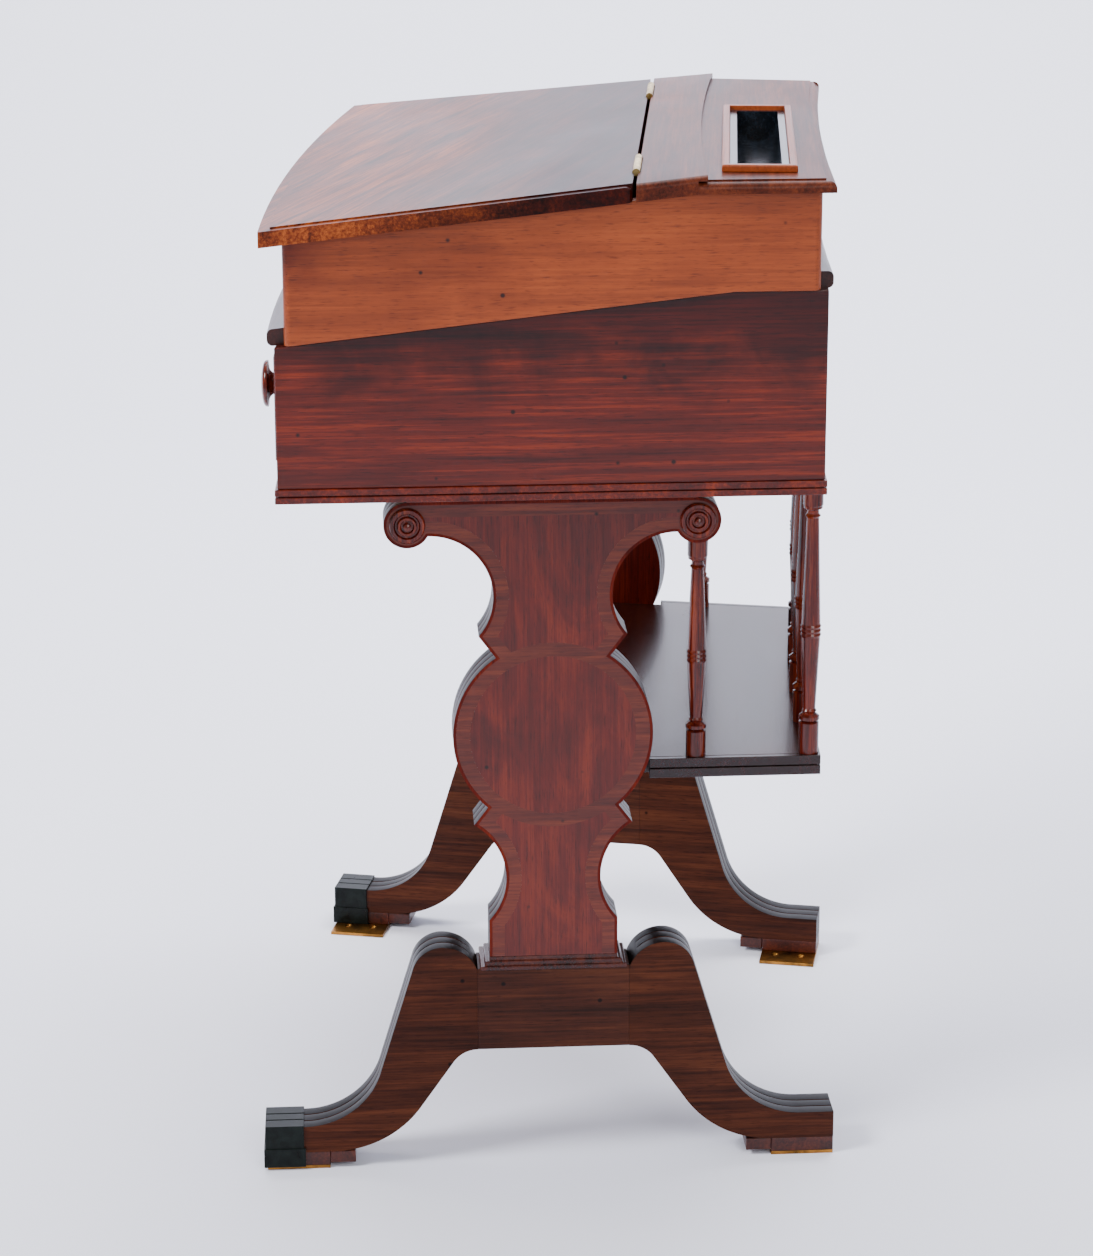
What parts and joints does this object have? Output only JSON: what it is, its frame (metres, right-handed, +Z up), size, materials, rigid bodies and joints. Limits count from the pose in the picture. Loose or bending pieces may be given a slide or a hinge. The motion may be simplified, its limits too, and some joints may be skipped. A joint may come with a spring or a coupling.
{
  "type": "slope-top trestle desk",
  "caption": "Mahogany slope-lid writing desk with a drawer, lyre-shaped trestle ends on splayed feet, a book shelf with turned spindles and brass floor plates.",
  "frame": {"origin": "on the floor, midway between the foremost and rearmost points of the feet and on the centre line", "axes": "+Z up, -Y towards the sitter, +X to the sitter's right"},
  "size_m": [0.703, 0.5222, 0.9195],
  "materials": {
    "top_mahogany": "polished brown mahogany",
    "box_mahogany": "polished orange-brown mahogany",
    "red_mahogany": "polished deep red mahogany",
    "veneer": "polished mahogany veneer",
    "secondary_wood": "bare pine and oak",
    "lacquered_wood": "glossy dark lacquer",
    "brass": "aged",
    "dark_metal": "dark green-black japanned"
  },
  "bodies": {
    "desk": {"base_moulding": "red_mahogany", "box_back": "box_mahogany", "box_cheek_left": "box_mahogany", "box_cheek_right": "box_mahogany", "box_front": "box_mahogany", "case_back": "red_mahogany", "case_bottom": "red_mahogany", "case_side_left": "red_mahogany", "case_side_right": "red_mahogany", "crossbanding_left": "veneer", "crossbanding_right": "veneer", "drawer_guides": "secondary_wood", "drawer_runners": "secondary_wood", "field_veneer_left": "veneer", "field_veneer_right": "veneer", "fixed_strip": "top_mahogany", "foot_rail_left": "red_mahogany", "foot_rail_right": "red_mahogany", "front_floor_plate_left": "brass", "front_floor_plate_right": "brass", "front_leg_left": "red_mahogany", "front_leg_right": "red_mahogany", "front_spindles": "red_mahogany", "front_toe_blocks": "red_mahogany", "hinge_leaves_fixed": "brass", "hinge_pins": "brass", "hinge_rail": "box_mahogany", "leg_dowels": "secondary_wood", "lower_rail": "red_mahogany", "pen_tray_frame": "box_mahogany", "plinth_moulding_left": "red_mahogany", "plinth_moulding_right": "red_mahogany", "rear_board": "top_mahogany", "rear_floor_plate_left": "brass", "rear_floor_plate_right": "brass", "rear_leg_left": "red_mahogany", "rear_leg_right": "red_mahogany", "rear_spindles": "red_mahogany", "rear_toe_blocks": "red_mahogany", "scroll_bosses": "red_mahogany", "shelf": "red_mahogany", "shelf_cleats": "red_mahogany", "shelf_edging": "red_mahogany", "toe_sleeve_left": "dark_metal", "toe_sleeve_right": "dark_metal", "top_cleats": "red_mahogany", "trestle_panel_left": "red_mahogany", "trestle_panel_right": "red_mahogany", "upper_rail": "red_mahogany", "writing_board": "red_mahogany"},
    "lid_body": {"lid": "top_mahogany", "hinge_leaves_lid": "brass"},
    "drawer_body": {"drawer_back": "secondary_wood", "drawer_bottom": "secondary_wood", "drawer_front": "red_mahogany", "drawer_knobs": "red_mahogany", "drawer_side_left": "secondary_wood", "drawer_side_right": "secondary_wood"},
    "tray_body": {"pen_tray": "lacquered_wood"}
  },
  "joints": [
    {"name": "lid_hinge", "type": "hinge", "parent": "desk", "child": "lid_body", "pos_m": [0, 0.07587, 0.9116], "axis": [-1, 0, 0], "range_deg": [0, 100]},
    {"name": "drawer_slide", "type": "slide", "parent": "desk", "child": "drawer_body", "axis": [0, -1, 0], "range_m": [0, 0.28]},
    {"name": "tray_lift", "type": "slide", "parent": "desk", "child": "tray_body", "axis": [0, 0, 1], "range_m": [0, 0.06]}
  ]
}
